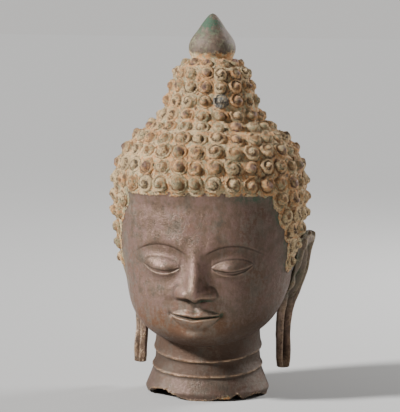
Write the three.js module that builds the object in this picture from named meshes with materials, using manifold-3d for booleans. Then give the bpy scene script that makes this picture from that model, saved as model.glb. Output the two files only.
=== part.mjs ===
// A buddha head: the hollow cast bronze head of a temple statue, broken off at the neck.
// Tight snail-shell curls cover the skull and the tall crown above it, and a plain lotus bud
// tops the crown. The ears have long hanging lobes, and two ridges ring the neck. The casting
// stands on the ragged edge of the break, through which its hollow core is open.
// Millimetres, +Z up, facing -Y. The origin is on the surface it stands on, under its middle.
import * as THREE from "three";
import { ConvexHull } from "three/addons/math/ConvexHull.js";
import { mergeVertices } from "three/addons/utils/BufferGeometryUtils.js";
import Module from "manifold-3d";

const { clamp, lerp, smoothstep } = THREE.MathUtils;
const { abs, asin, cos, exp, floor, hypot, max, min, PI, round, sin, sqrt, tanh } = Math;
const degrees = PI / 180;

// Overall sizes.
const HEIGHT = 284;
const SKULL_HALF_WIDTH = 70.5;
const SKULL_HALF_DEPTH = 69;
const NECK_HALF_WIDTH = 39;
const NECK_HALF_DEPTH = 39;
const NECK_FLARE = 7.5;
const FLARE_TOP_Z = 26;
const FLARE_FOOT_Z = 5;
const WALL = 5;
const NECK_WALL = 4;

// Heights of the landmarks above the break.
const CHIN_Z = 40;
const HAIRLINE_Z = 149;
const NAPE_Z = 56;
const SIDEBURN_Z = 95;

// The lotus bud on the crown.
const BUD_HEIGHT = 33;
const BUD_RADIUS = 17.6;

// The curls.
const CURL_PITCH = 13.4;
const CROWN_CURL_PITCH = 11;
const CURL_RISE = 6;

// The ears.
const EAR_TOP_Z = 120;
const EAR_TIP_Z = 18;
const EAR_WIDTH = 32;
const LOBE_WIDTH = 13;
const EAR_THICKNESS = 7;

// The break.
const BREAK_DEPTH = 6;

// A smooth curve through [input, output] pairs that never overshoots them.
function curveThrough(points) {
  const last = points.length - 1;
  const slope = (i) => (points[i + 1][1] - points[i][1]) / (points[i + 1][0] - points[i][0]);
  const tangent = points.map((_, i) => {
    if (i === 0) return slope(0);
    if (i === last) return slope(last - 1);
    const [before, after] = [slope(i - 1), slope(i)];
    return before * after <= 0 ? 0 : (2 * before * after) / (before + after);
  });
  return (input) => {
    const at = clamp(input, points[0][0], points[last][0]);
    const i = max(0, points.findIndex((p, n) => n < last && at <= points[n + 1][0]));
    const width = points[i + 1][0] - points[i][0];
    const t = (at - points[i][0]) / width;
    const [t2, t3] = [t * t, t * t * t];
    return (
      (2 * t3 - 3 * t2 + 1) * points[i][1] +
      (t3 - 2 * t2 + t) * width * tangent[i] +
      (3 * t2 - 2 * t3) * points[i + 1][1] +
      (t3 - t2) * width * tangent[i + 1]
    );
  };
}

const bell = (x, width) => exp(-((x / width) ** 2));

// The face is divided into equal thirds from hairline to chin, and into fifths from side to
// side, each an eye's width. The smaller forms are shares of those two sizes.
const THIRD = (HAIRLINE_Z - CHIN_Z) / 3;
const EYE_WIDTH = (2 * SKULL_HALF_WIDTH * 0.92) / 5;

// Skull, crown and bud: half width by height. The crown's points are shares of the way from
// the hairline to the foot of the bud, and of the skull's half width.
const BUD_Z = HEIGHT - BUD_HEIGHT;
const crownOutline = [
  [0, 1],
  [0.11, 0.995],
  [0.21, 0.965],
  [0.29, 0.92],
  [0.37, 0.845],
  [0.42, 0.775],
  [0.46, 0.71],
  [0.5, 0.625],
  [0.55, 0.545],
  [0.64, 0.48],
  [0.73, 0.445],
  [0.82, 0.405],
  [0.91, 0.355],
].map(([up, out]) => [lerp(HAIRLINE_Z, BUD_Z, up), out * SKULL_HALF_WIDTH]);
const budOutline = [
  [0, 0.88],
  [0.06, 0.93],
  [0.14, 0.985],
  [0.23, 1],
  [0.36, 0.95],
  [0.5, 0.79],
  [0.64, 0.59],
  [0.78, 0.42],
  [0.9, 0.25],
  [0.97, 0.13],
  [1, 0],
].map(([up, out]) => [lerp(BUD_Z, HEIGHT, up), out * BUD_RADIUS]);
const headOutline = [
  [0, 0.73],
  [0.2, 0.81],
  [0.4, 0.865],
  [0.55, 0.9],
  [0.69, 0.945],
  [0.8, 0.968],
  [0.9, 0.99],
].map(([up, out]) => [lerp(CHIN_Z, HAIRLINE_Z, up), out * SKULL_HALF_WIDTH]);
const halfWidth = curveThrough([...headOutline, ...crownOutline, ...budOutline]);

// The face's depth in front of the axis, and the back of the head's behind it.
const faceOutline = [
  [0, 0.85],
  [0.22, 0.9],
  [0.45, 0.93],
  [0.67, 0.96],
  [0.85, 0.965],
  [1, 0.955],
].map(([up, out]) => [lerp(CHIN_Z, HAIRLINE_Z, up), out * SKULL_HALF_DEPTH]);
const backOutline = [
  [0, 0.72],
  [0.2, 0.84],
  [0.4, 0.94],
  [0.6, 0.985],
  [0.8, 1],
  [1, 1],
].map(([up, out]) => [lerp(CHIN_Z, HAIRLINE_Z, up), out * SKULL_HALF_DEPTH]);
const faceDepth = curveThrough(faceOutline);
const backDepth = curveThrough(backOutline);

function halfDepth(z, front) {
  const crown = (halfWidth(z) * SKULL_HALF_DEPTH) / SKULL_HALF_WIDTH;
  const below = front ? faceDepth(z) : backDepth(z);
  return lerp(below, crown, smoothstep(z, HAIRLINE_Z - 0.22 * THIRD, HAIRLINE_Z + 0.28 * THIRD));
}

// The neck, with a flare at its foot and two ridges that dip at the front.
const RIDGE_RISE = 1.8;
const ridges = [
  { z: 0.7 * CHIN_Z, lift: 0.36 * CHIN_Z },
  { z: 0.43 * CHIN_Z, lift: 0.24 * CHIN_Z },
];
const ridgeHeight = (ridge, angle) => ridge.z + (ridge.lift * (1 - cos(angle))) / 2;

function neckRadius(angle, z) {
  const down = clamp((FLARE_TOP_Z - z) / (FLARE_TOP_Z - FLARE_FOOT_Z), 0, 1);
  const flare = NECK_FLARE * (down ** 1.2 - 0.2 * (1 - smoothstep(z, 0, FLARE_FOOT_Z)));
  const section = hypot(sin(angle) / NECK_HALF_WIDTH, cos(angle) / NECK_HALF_DEPTH);
  let ridge = 0;
  for (const r of ridges) {
    const above = z - ridgeHeight(r, angle);
    const spread = (above > 0 ? 2.2 : 0.28) * RIDGE_RISE;
    ridge += RIDGE_RISE * exp(-abs(above) / spread);
  }
  return 1 / section + flare + ridge;
}

// Distance of the smooth head from its axis. The jaw rounds in to the neck below it.
const SECTION_POWER = 2.15;

function headRadius(angle, z) {
  const [s, c] = [abs(sin(angle)), cos(angle)];
  const across = (s / halfWidth(z)) ** SECTION_POWER;
  const along = (abs(c) / halfDepth(z, c > 0)) ** SECTION_POWER;
  return (across + along) ** (-1 / SECTION_POWER);
}

const jawHeight = (angle) => CHIN_Z + 0.25 * THIRD * (1 - cos(angle)) * (1.6 + 0.6 * cos(angle));
const jawRounding = (angle) => lerp(0.38, 1, smoothstep(1 - cos(angle), 0, 1.4)) * THIRD;

function smoothRadius(angle, z) {
  if (z >= BUD_Z) return halfWidth(z);
  const neck = neckRadius(angle, z);
  const up = clamp((z - jawHeight(angle)) / jawRounding(angle), 0, 1);
  const round = sqrt(1 - (1 - up) ** 2);
  return up > 0 ? lerp(neck, headRadius(angle, z), round) : neck;
}

// The forms of the face.
const BROW_Z = CHIN_Z + 2 * THIRD;
const NOSE_Z = CHIN_Z + THIRD;
const MOUTH_Z = NOSE_Z - THIRD / 3;
const EYE_Z = BROW_Z - 0.3 * THIRD;
const EYE_HALF_HEIGHT = 0.25 * THIRD;
const EYE_RISE = 0.15 * THIRD;
const SLIT_WIDTH = 0.028 * THIRD;
const LID_DROP = 0.1 * THIRD;
const SOCKET_DEPTH = 0.1 * THIRD;
const BROW_ARCH = 0.13 * THIRD;
const BROW_RISE = 0.055 * THIRD;
const NOSE_RISE = 0.38 * THIRD;
const NOSTRIL_X = 0.33 * EYE_WIDTH;
const WING_SIZE = 0.12 * THIRD;
const MOUTH_HALF_WIDTH = 0.74 * EYE_WIDTH;
const LIP_RISE = 0.1 * THIRD;
const LIP_HEIGHT = 0.1 * THIRD;
const SMILE = 0.06 * THIRD;
const CHIN_RISE = 0.12 * THIRD;

// The nose widens from its bridge to its tip, and a wing stands at each side of the tip.
const noseHalfWidth = (z) => lerp(0.19, 0.29, clamp((BROW_Z - z) / THIRD, 0, 1)) * EYE_WIDTH;

function noseRise(x, z) {
  const down = clamp((BROW_Z - z) / THIRD, 0, 1);
  const bridge = lerp(0.26, 1, down ** 1.2) * smoothstep((z - NOSE_Z) / THIRD, -0.04, 0.08);
  const root = smoothstep((BROW_Z - z) / THIRD, -0.28, 0.06);
  const wings = 0.4 * bell(abs(x) - NOSTRIL_X, WING_SIZE) * bell(z - NOSE_Z - WING_SIZE, WING_SIZE);
  return NOSE_RISE * (bridge * root * exp(-((abs(x) / noseHalfWidth(z)) ** 2.4)) + wings);
}

// The brow is steep below its arched crest and fades into the forehead above it.
const browHeight = (x) => BROW_Z + BROW_ARCH * cos((1.5 * (abs(x) - EYE_WIDTH)) / EYE_WIDTH);

function browRise(x, z) {
  const above = z - browHeight(x);
  const ends = 1 - smoothstep(abs(x), 1.35 * EYE_WIDTH, 1.9 * EYE_WIDTH);
  const middle = smoothstep(abs(x), 0, 0.23 * EYE_WIDTH);
  return BROW_RISE * middle * ends * bell(above, (above > 0 ? 0.22 : 0.066) * THIRD);
}

// The eye looks down: the upper lid covers the ball, and its edge hangs low in the middle.
const eyeAcross = (x) => (abs(x) - EYE_WIDTH) / (0.52 * EYE_WIDTH);
const lidHeight = (across) => EYE_Z - LID_DROP * (1 - across ** 2);

function eyeRise(x, z) {
  const across = eyeAcross(x);
  const up = (z - EYE_Z) / EYE_HALF_HEIGHT;
  const socket = -SOCKET_DEPTH * bell(across, 1.3) * bell(up, 1.1);
  const ball = EYE_RISE * max(0, 1 - across ** 2 - up ** 2) ** 0.75;
  const open = sqrt(max(0, 1 - across ** 2));
  const slit = -0.36 * EYE_RISE * bell(z - lidHeight(across), SLIT_WIDTH) * open;
  return socket + ball + slit;
}

// Full lips that meet in a line, whose corners rise a little.
const mouthHeight = (x) => MOUTH_Z + SMILE * (x / MOUTH_HALF_WIDTH) ** 2;

function mouthRise(x, z) {
  const across = x / MOUTH_HALF_WIDTH;
  const inside = max(0, 1 - across ** 2);
  const above = z - mouthHeight(x);
  const upper = LIP_RISE * bell(above - 0.85 * LIP_HEIGHT, 0.8 * LIP_HEIGHT) * inside ** 0.6;
  const lower = 1.1 * LIP_RISE * bell(above + LIP_HEIGHT, LIP_HEIGHT) * inside ** 0.8;
  const slit = -0.7 * LIP_RISE * bell(above, SLIT_WIDTH) * inside ** 0.4;
  const hollow = -0.2 * LIP_RISE * bell(x, 0.09 * EYE_WIDTH) * bell(z - NOSE_Z + 0.11 * THIRD, 0.08 * THIRD);
  const around = 0.7 * LIP_RISE * bell(across, 1.1) * bell(z - MOUTH_Z, 0.28 * THIRD);
  return around + upper + lower + slit + hollow;
}

function chinRise(x, z) {
  const ball = bell(x, 0.34 * THIRD) * bell(z - CHIN_Z - 0.24 * THIRD, 0.22 * THIRD);
  const cheeks = bell(abs(x) - 1.3 * EYE_WIDTH, 0.54 * EYE_WIDTH) * bell(z - NOSE_Z - 0.12 * THIRD, 0.41 * THIRD);
  return CHIN_RISE * (ball + 0.35 * cheeks);
}

function faceRise(x, z) {
  return noseRise(x, z) + browRise(x, z) + eyeRise(x, z) + mouthRise(x, z) + chinRise(x, z);
}

// A point of the casting's skin without its curls. The features stand out along -Y.
function skinPoint(angle, z) {
  const radius = smoothRadius(angle, z);
  const point = new THREE.Vector3(radius * sin(angle), -radius * cos(angle), z);
  const onFace = smoothstep(cos(angle), 0.25, 0.6) * smoothstep(z - CHIN_Z, 0, 0.11 * THIRD);
  if (z < HAIRLINE_Z && onFace > 0) point.y -= onFace * faceRise(point.x, z);
  return point;
}

function skinNormal(angle, z) {
  const step = 0.4;
  const turn = step / max(smoothRadius(angle, z), 1);
  const along = skinPoint(angle + turn, z).sub(skinPoint(angle - turn, z));
  const up = skinPoint(angle, z + step).sub(skinPoint(angle, z - step));
  return along.cross(up).normalize();
}

// The hair's edge: the angle from the front at which the hair starts, by height.
const hairEdge = curveThrough([
  [0, 72],
  [0.43, 66],
  [0.63, 60],
  [0.83, 54],
  [1, 50],
].map(([up, angle]) => [lerp(SIDEBURN_Z, HAIRLINE_Z, up), angle * degrees]));
const IN_FRONT_OF_EAR = 86 * degrees;
const BEHIND_EAR = 120 * degrees;
const hairStart = (z) => (z < SIDEBURN_Z ? BEHIND_EAR : hairEdge(z));

// No curls lie under the ears.
function underEar(angle, z) {
  const fromFront = min(angle, 2 * PI - angle);
  return z < EAR_TOP_Z + 2 && fromFront > IN_FRONT_OF_EAR && fromFront < BEHIND_EAR;
}

// The curls shrink towards the bud.
const curlPitch = (z) => lerp(CURL_PITCH, CROWN_CURL_PITCH, smoothstep(z, HAIRLINE_Z + THIRD, BUD_Z));
const ROW_SHARE = 0.885;

// Rows of curls, a pitch apart along the skull, from under the bud down to the nape.
// Each row above the hairline is a ring, and each one below it runs round the back.
function curlRows() {
  const rows = [];
  const step = 0.25;
  let z = BUD_Z - 0.4 * CROWN_CURL_PITCH;
  let walked = 0;
  while (z > NAPE_Z) {
    if (rows.length === 0 || walked >= ROW_SHARE * curlPitch(z)) {
      rows.push(z);
      walked = 0;
    }
    walked += hypot(step, halfWidth(z) - halfWidth(z - step));
    z -= step;
  }
  return rows;
}

// A fixed unevenness from -1 to 1, so that hand-set curls don't line up like a machine's.
const uneven = (n) => 2 * (((sin(n * 12.9898) * 43758.5453) % 1 + 1) % 1) - 1;

function curlCentres() {
  const centres = [];
  curlRows().forEach((z) => {
    const radius = smoothRadius(PI / 2, z);
    const pitch = curlPitch(z);
    const ring = z > HAIRLINE_Z + 0.3 * pitch;
    const start = ring ? 0 : hairStart(z) + (0.5 * pitch) / radius;
    const arc = 2 * (PI - start);
    const count = max(5, round((arc * radius) / pitch));
    for (let i = 0; i < (ring ? count : count + 1); i++) {
      const angle = start + (arc * i) / count;
      if (underEar(angle, z)) continue;
      const n = centres.length;
      centres.push({
        angle: angle + (0.05 * pitch * uneven(n)) / radius,
        z: z + 0.06 * pitch * uneven(n + 0.5),
        pitch: pitch * (1 + 0.06 * uneven(n + 0.25)),
      });
    }
  });
  return centres;
}

// A point of the skin a given way from another, with how far it stands out.
function beside(centre, distance, turn, rise) {
  const radius = smoothRadius(centre.angle, centre.z);
  const steep = (smoothRadius(centre.angle, centre.z + 1) - smoothRadius(centre.angle, centre.z - 1)) / 2;
  return {
    angle: centre.angle + (distance * cos(turn)) / radius,
    z: centre.z + (distance * sin(turn)) / hypot(1, steep),
    rise,
  };
}

const place = (p) => skinPoint(p.angle, p.z).addScaledVector(skinNormal(p.angle, p.z), p.rise ?? 0);

// Each curl is a low dome: a peak, a shoulder of five points, and the valley round it,
// which it shares with its neighbours on four sides and at four corners.
const SHOULDER_POINTS = 5;

function curlSamples(centres) {
  const samples = [];
  const valleys = [];
  const seats = centres.map((c) => skinPoint(c.angle, c.z));
  for (const c of centres) {
    const rise = (CURL_RISE * c.pitch) / CURL_PITCH;
    samples.push({ ...c, rise });
    for (let i = 0; i < SHOULDER_POINTS; i++) {
      const turn = ((i + 0.25) / SHOULDER_POINTS) * 2 * PI;
      samples.push(beside(c, 0.32 * c.pitch, turn, 0.74 * rise));
    }
    for (let i = 0; i < 8; i++) {
      const reach = i % 2 ? 0.68 : 0.52;
      const valley = beside(c, reach * c.pitch, i * 45 * degrees, 0);
      const at = skinPoint(valley.angle, valley.z);
      const clear = seats.every((seat) => seat.distanceTo(at) > 0.42 * c.pitch);
      if (clear && valleys.every((v) => v.at.distanceTo(at) > 0.36 * c.pitch)) {
        valleys.push({ ...valley, at });
      }
    }
  }
  return [...samples, ...valleys];
}

// Samples in level rows, from one angle to another.
function rowSamples(heights, spacing, from, to) {
  const samples = [];
  for (const z of heights) {
    const [low, high] = [from(z), to(z)];
    const count = max(3, round(((high - low) * smoothRadius(low, z)) / spacing));
    for (let i = 0; i <= count; i++) samples.push({ angle: lerp(low, high, i / count), z });
  }
  return samples;
}

function between(low, high, count) {
  return Array.from({ length: count }, (_, i) => lerp(low, high, i / count));
}

// The angle at which the smooth head is x from its middle plane, on the face's side.
function angleAt(x, z) {
  let angle = 0;
  for (let i = 0; i < 6; i++) angle = asin(clamp(x / smoothRadius(angle, z), -1, 1));
  return angle;
}

// Lines that the net over the face follows, each as a count of samples and a path in x and z
// on the +X side. Each is mirrored to the other side.
const eyeRim = (reach) => (t) => {
  const turn = 2 * PI * t;
  const x = EYE_WIDTH * (1 + 0.52 * reach * cos(turn));
  return [x, EYE_Z + reach * EYE_HALF_HEIGHT * sin(turn)];
};
const lidLine = (above) => (t) => {
  const across = lerp(-0.86, 0.86, t);
  return [EYE_WIDTH * (1 + 0.52 * across), lidHeight(across) + above * (1 - 0.5 * across ** 2)];
};
const mouthLine = (above) => (t) => {
  const x = t * MOUTH_HALF_WIDTH;
  return [x, mouthHeight(x) + above * (1 - t ** 3)];
};
const noseSide = (reach) => (t) => {
  const z = lerp(NOSE_Z + 3, BROW_Z - 4, t);
  return [reach * noseHalfWidth(z), z];
};
const browLine = (above) => (t) => {
  const x = lerp(0.25, 1.7, t) * EYE_WIDTH;
  return [x, browHeight(x) + above];
};
const wingRim = (reach) => (t) => {
  const turn = lerp(-0.5, 0.62, t) * PI;
  return [NOSTRIL_X + reach * cos(turn), NOSE_Z + 4.4 + reach * sin(turn)];
};
const acrossNose = (z) => (t) => [t * 0.24 * EYE_WIDTH, z];
const faceLines = [
  [7, browLine(0)],
  [7, browLine(-3.6)],
  [14, eyeRim(1.04)],
  [5, lidLine(0)],
  [5, lidLine(1.9)],
  [4, lidLine(-1.9)],
  [4, lidLine(5.6)],
  [6, noseSide(0.45)],
  [6, noseSide(1.45)],
  [5, wingRim(1)],
  [5, wingRim(5.4)],
  [2, acrossNose(NOSE_Z - 1.8)],
  [2, acrossNose(NOSE_Z + 3)],
  [2, acrossNose(NOSE_Z + 7)],
  [6, mouthLine(0)],
  [5, mouthLine(0.85 * LIP_HEIGHT)],
  [5, mouthLine(2.3 * LIP_HEIGHT)],
  [5, mouthLine(-LIP_HEIGHT)],
  [5, mouthLine(-2.6 * LIP_HEIGHT)],
];

function lineSamples() {
  const samples = [];
  for (const [count, path] of faceLines) {
    for (let i = 0; i < count; i++) {
      const [x, z] = path(i / (count - 1));
      samples.push({ angle: angleAt(x, z), z });
      if (x > 0) samples.push({ angle: angleAt(-x, z), z });
    }
  }
  return spread(samples, 1);
}

// Those samples that keep a least distance from the ones before them.
function spread(samples, least) {
  const kept = [];
  for (const sample of samples) {
    const at = skinPoint(sample.angle, sample.z);
    if (kept.every((k) => k.at.distanceTo(at) > least)) kept.push({ ...sample, at });
  }
  return kept;
}

const FACE_GRID = 7.4;

function faceSamples() {
  const lines = lineSamples();
  const hairEnd = (z) => hairEdge(z) - (0.35 * CURL_PITCH) / SKULL_HALF_WIDTH;
  const edge = (z) => (z < SIDEBURN_Z ? 100 * degrees : hairEnd(z));
  const rows = round((HAIRLINE_Z - CHIN_Z) / FACE_GRID);
  const heights = between(CHIN_Z + 2, HAIRLINE_Z - 1, rows);
  const grid = rowSamples(heights, FACE_GRID, (z) => -edge(z), edge);
  return [...lines, ...spread([...lines, ...grid], 0.5 * FACE_GRID).slice(lines.length)];
}

const SIDE_GRID = 9;

// The plain skin behind the jaw and under the ears.
function sideSamples() {
  const jaw = between(NAPE_Z - 14, SIDEBURN_Z - 6, 5);
  const toHair = (z) => (z < NAPE_Z ? PI : BEHIND_EAR);
  const right = [
    ...rowSamples(jaw, SIDE_GRID, () => 104 * degrees, toHair),
    ...rowSamples(between(SIDEBURN_Z - 6, EAR_TOP_Z, 4), SIDE_GRID, () => 92 * degrees, () => 114 * degrees),
  ];
  return [...right, ...right.map(({ angle, z }) => ({ angle: -angle, z }))];
}

// Samples in whole rings, whose heights are numbers or depend on the angle.
function ringSamples(heights, count) {
  const samples = [];
  for (const height of heights) {
    for (let i = 0; i < count; i++) {
      const angle = (2 * PI * i) / count;
      samples.push({ angle, z: typeof height === "function" ? height(angle) : height });
    }
  }
  return samples;
}

const NECK_START_Z = -8;

function neckSamples() {
  const [upper, lower] = ridges;
  const level = (ridge, above) => (angle) => ridgeHeight(ridge, angle) + above;
  const underJaw = (angle) => jawHeight(angle) - 0.5;
  const heights = [
    NECK_START_Z,
    -1,
    FLARE_FOOT_Z,
    10,
    level(lower, -1.6),
    level(lower, 0.2),
    level(lower, 7),
    level(upper, -1.6),
    level(upper, 0.2),
    underJaw,
  ];
  return ringSamples(heights, 34);
}

function budSamples() {
  const shares = [0.005, 0.1, 0.22, 0.36, 0.5, 0.64, 0.78, 0.9];
  const heights = shares.map((share) => lerp(BUD_Z, HEIGHT, share));
  return [...ringSamples(heights.slice(0, 5), 18), ...ringSamples(heights.slice(5), 10)];
}

// The skin is a net over its samples. They are laid out on a sphere, by a map that keeps
// small shapes true, and the hull of that sphere joins neighbours by triangles.
function latitudes() {
  const table = [];
  const step = 0.25;
  let latitude = 0;
  for (let z = NECK_START_Z; z < HEIGHT - 0.5; z += step) {
    const radius = smoothRadius(PI / 2, z);
    latitude += hypot(step, smoothRadius(PI / 2, z + step) - radius) / radius;
    table.push(latitude);
  }
  const middle = table[round((SIDEBURN_Z - NECK_START_Z) / step)];
  return (z) => {
    const at = clamp((z - NECK_START_Z) / step, 0, table.length - 1.001);
    return lerp(table[floor(at)], table[floor(at) + 1], at % 1) - middle;
  };
}

function netOver(samples) {
  const latitude = latitudes();
  const poles = [new THREE.Vector3(0, 0, -1), new THREE.Vector3(0, 0, 1)];
  const onSphere = samples.map(({ angle, z }) => {
    const up = tanh(latitude(z));
    const out = sqrt(1 - up * up);
    return new THREE.Vector3(out * sin(angle), -out * cos(angle), up);
  });
  onSphere.unshift(...poles);
  const index = new Map(onSphere.map((point, i) => [point, i]));
  const positions = [new THREE.Vector3(0, 0, NECK_START_Z), new THREE.Vector3(0, 0, HEIGHT), ...samples.map(place)];
  const triangles = [];
  for (const face of new ConvexHull().setFromPoints(onSphere).faces) {
    for (let i = 0; i < 3; i++) triangles.push(index.get(face.getEdge(i).head().point));
  }
  const geometry = new THREE.BufferGeometry().setFromPoints(positions);
  geometry.setIndex(triangles);
  return geometry;
}

// The ear: a plate that flares off the side of the head and runs down into a long lobe,
// with a raised rim down both edges and a groove between them. Its outlines run from the
// lobe's tip, at 0, to the top, at 1, and its place is in shares of the skull's half width
// and half depth.
const earShape = {
  out: curveThrough([
    [0, 0.783],
    [0.11, 0.783],
    [0.25, 0.772],
    [0.4, 0.786],
    [0.58, 0.878],
    [0.72, 0.948],
    [0.87, 0.982],
    [1, 1.03],
  ]),
  back: curveThrough([
    [0, 0.275],
    [0.11, 0.278],
    [0.25, 0.304],
    [0.4, 0.312],
    [0.58, 0.272],
    [0.72, 0.261],
    [0.87, 0.261],
    [1, 0.304],
  ]),
  width: curveThrough([
    [0, 0.8 * LOBE_WIDTH],
    [0.06, LOBE_WIDTH],
    [0.25, 1.1 * LOBE_WIDTH],
    [0.4, lerp(LOBE_WIDTH, EAR_WIDTH, 0.24)],
    [0.58, lerp(LOBE_WIDTH, EAR_WIDTH, 0.74)],
    [0.72, EAR_WIDTH],
    [0.87, 0.97 * EAR_WIDTH],
    [0.96, 0.7 * EAR_WIDTH],
    [1, 0.42 * EAR_WIDTH],
  ]),
  flare: curveThrough([
    [0, 45 * degrees],
    [0.11, 47 * degrees],
    [0.25, 56 * degrees],
    [0.4, 60 * degrees],
    [0.58, 77 * degrees],
    [0.72, 80 * degrees],
    [0.87, 79 * degrees],
    [1, 68 * degrees],
  ]),
};
const EAR_ROWS = 14;

// The ear's section, as shares of its width and thickness: from the rear edge over the two
// rims and the groove to the front edge, and back behind.
const earSection = [
  [0.5, 0],
  [0.43, 0.5],
  [0.28, 0.4],
  [0.1, -0.05],
  [-0.14, 0.05],
  [-0.3, 0.45],
  [-0.5, 0.1],
  [-0.4, -0.5],
  [0.05, -0.55],
  [0.42, -0.42],
];

const earCentre = (up) => [SKULL_HALF_WIDTH * earShape.out(up), SKULL_HALF_DEPTH * earShape.back(up)];

function earGeometry(side) {
  const positions = [];
  const around = earSection.length;
  for (let row = 0; row <= EAR_ROWS; row++) {
    const up = row / EAR_ROWS;
    const width = earShape.width(up);
    const flare = earShape.flare(up);
    const [out, back] = earCentre(up);
    for (const [across, deep] of earSection) {
      const [along, through] = [across * width, deep * EAR_THICKNESS];
      const x = out + along * cos(flare) + through * sin(flare);
      const y = back + along * sin(flare) - through * cos(flare);
      positions.push(new THREE.Vector3(side * x, y, lerp(EAR_TIP_Z, EAR_TOP_Z, up)));
    }
  }
  const triangles = [];
  const add = (a, b, c) => triangles.push(...(side > 0 ? [a, b, c] : [a, c, b]));
  for (let row = 0; row < EAR_ROWS; row++) {
    for (let i = 0; i < around; i++) {
      const [a, b] = [row * around + i, row * around + ((i + 1) % around)];
      add(a, a + around, b);
      add(b, a + around, b + around);
    }
  }
  // Both ends close on a point a little beyond them.
  for (const [row, end, beyond] of [[0, EAR_TIP_Z, -0.15], [EAR_ROWS, EAR_TOP_Z, 0.35]]) {
    const pole = positions.length;
    const [out, back] = earCentre(row / EAR_ROWS);
    positions.push(new THREE.Vector3(side * out, back, end + beyond * EAR_THICKNESS));
    for (let i = 0; i < around; i++) {
      const [a, b] = [row * around + i, row * around + ((i + 1) % around)];
      add(...(row ? [pole, b, a] : [pole, a, b]));
    }
  }
  const geometry = new THREE.BufferGeometry().setFromPoints(positions);
  geometry.setIndex(triangles);
  return geometry;
}

// The hollow core: it follows the smooth head at least a wall's thickness inside it, with a
// thinner wall in the neck.
const CORE_SIDES = 22;

function coreGeometry() {
  const start = NECK_START_Z - 4;
  const roof = BUD_Z - 2 * WALL;
  const room = (angle, z) => {
    const wall = lerp(NECK_WALL, WALL, smoothstep(z, FLARE_TOP_Z, NAPE_Z));
    const around = [-wall, 0, wall].map((near) => smoothRadius(angle, max(z + near, 0)));
    return min(...around) - wall;
  };
  const heights = [
    start,
    0,
    FLARE_FOOT_Z,
    FLARE_TOP_Z,
    CHIN_Z + 4,
    NAPE_Z + 4,
    NAPE_Z + 14,
    ...between(NAPE_Z + 28, HAIRLINE_Z, 3),
    ...between(HAIRLINE_Z, roof, 7),
    roof,
  ];
  const positions = [new THREE.Vector3(0, 0, start), new THREE.Vector3(0, 0, roof + WALL)];
  for (const z of heights) {
    for (let i = 0; i < CORE_SIDES; i++) {
      const angle = (2 * PI * (i + 0.25)) / CORE_SIDES;
      const radius = room(angle, z);
      positions.push(new THREE.Vector3(radius * sin(angle), -radius * cos(angle), z));
    }
  }
  const triangles = [];
  const last = (heights.length - 1) * CORE_SIDES;
  for (let i = 0; i < CORE_SIDES; i++) {
    const next = (i + 1) % CORE_SIDES;
    triangles.push(0, 2 + next, 2 + i, 1, 2 + last + i, 2 + last + next);
    for (let row = 0; row < last; row += CORE_SIDES) {
      const [a, b] = [2 + row + i, 2 + row + next];
      triangles.push(a, b, a + CORE_SIDES, b, b + CORE_SIDES, a + CORE_SIDES);
    }
  }
  const geometry = new THREE.BufferGeometry().setFromPoints(positions);
  geometry.setIndex(triangles);
  return geometry;
}

// What the break took away: everything under a ragged height that touches zero in places.
const breakHeight = curveThrough([
  [-180, 0],
  [-168, 0],
  [-150, 0.55],
  [-128, 0.2],
  [-112, 0],
  [-96, 0],
  [-84, 0.15],
  [-66, 0.2],
  [-52, 0.9],
  [-38, 1],
  [-24, 0.55],
  [-12, 0.1],
  [-4, 0],
  [10, 0],
  [18, 0.25],
  [30, 0.2],
  [37, 0.75],
  [44, 0.15],
  [58, 0.5],
  [72, 0.3],
  [84, 0],
  [96, 0],
  [114, 0.5],
  [132, 0.15],
  [150, 0.6],
  [168, 0],
  [180, 0],
].map(([angle, share]) => [angle * degrees, share * BREAK_DEPTH]));

function breakGeometry() {
  const count = 48;
  const reach = 2 * SKULL_HALF_WIDTH;
  const floorZ = NECK_START_Z - 8;
  const positions = [new THREE.Vector3(0, 0, 0), new THREE.Vector3(0, 0, floorZ)];
  for (let i = 0; i < count; i++) {
    const angle = lerp(-PI, PI, i / count);
    const [x, y] = [reach * sin(angle), -reach * cos(angle)];
    // The ragged height runs straight out over the neck's wall, and is level inside it.
    for (const share of [0.15, 1]) {
      positions.push(new THREE.Vector3(share * x, share * y, breakHeight(angle)));
    }
    positions.push(new THREE.Vector3(x, y, floorZ));
  }
  const triangles = [];
  for (let i = 0; i < count; i++) {
    const [a, b] = [2 + 3 * i, 2 + 3 * ((i + 1) % count)];
    triangles.push(0, a, b, a, a + 1, b, b, a + 1, b + 1, a + 1, a + 2, b + 1);
    triangles.push(b + 1, a + 2, b + 2, 1, b + 2, a + 2);
  }
  const geometry = new THREE.BufferGeometry().setFromPoints(positions);
  geometry.setIndex(triangles);
  return geometry;
}

// Cutting and joining.
const wasm = await Module();
wasm.setup();

function solidOf(geometry) {
  const bare = geometry.clone();
  bare.deleteAttribute("normal");
  bare.deleteAttribute("uv");
  const merged = mergeVertices(bare, 1e-3);
  const made = new wasm.Manifold(
    new wasm.Mesh({
      numProp: 3,
      vertProperties: merged.attributes.position.array,
      triVerts: new Uint32Array(merged.index.array),
    }),
  );
  return made;
}

function geometryOf(solid) {
  const mesh = solid.getMesh();
  const geometry = new THREE.BufferGeometry();
  geometry.setAttribute("position", new THREE.BufferAttribute(mesh.vertProperties, 3));
  geometry.setIndex(new THREE.BufferAttribute(mesh.triVerts, 1));
  geometry.computeVertexNormals();
  return geometry;
}

const samples = [
  ...curlSamples(curlCentres()),
  ...faceSamples(),
  ...sideSamples(),
  ...neckSamples(),
  ...budSamples(),
];
const skin = solidOf(netOver(samples));
const [rightEar, leftEar] = [1, -1].map((side) => solidOf(earGeometry(side)));
const hollow = solidOf(coreGeometry());
const lost = solidOf(breakGeometry());
const casting = skin.add(rightEar).add(leftEar).subtract(hollow).subtract(lost).simplify(0.03);

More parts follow.
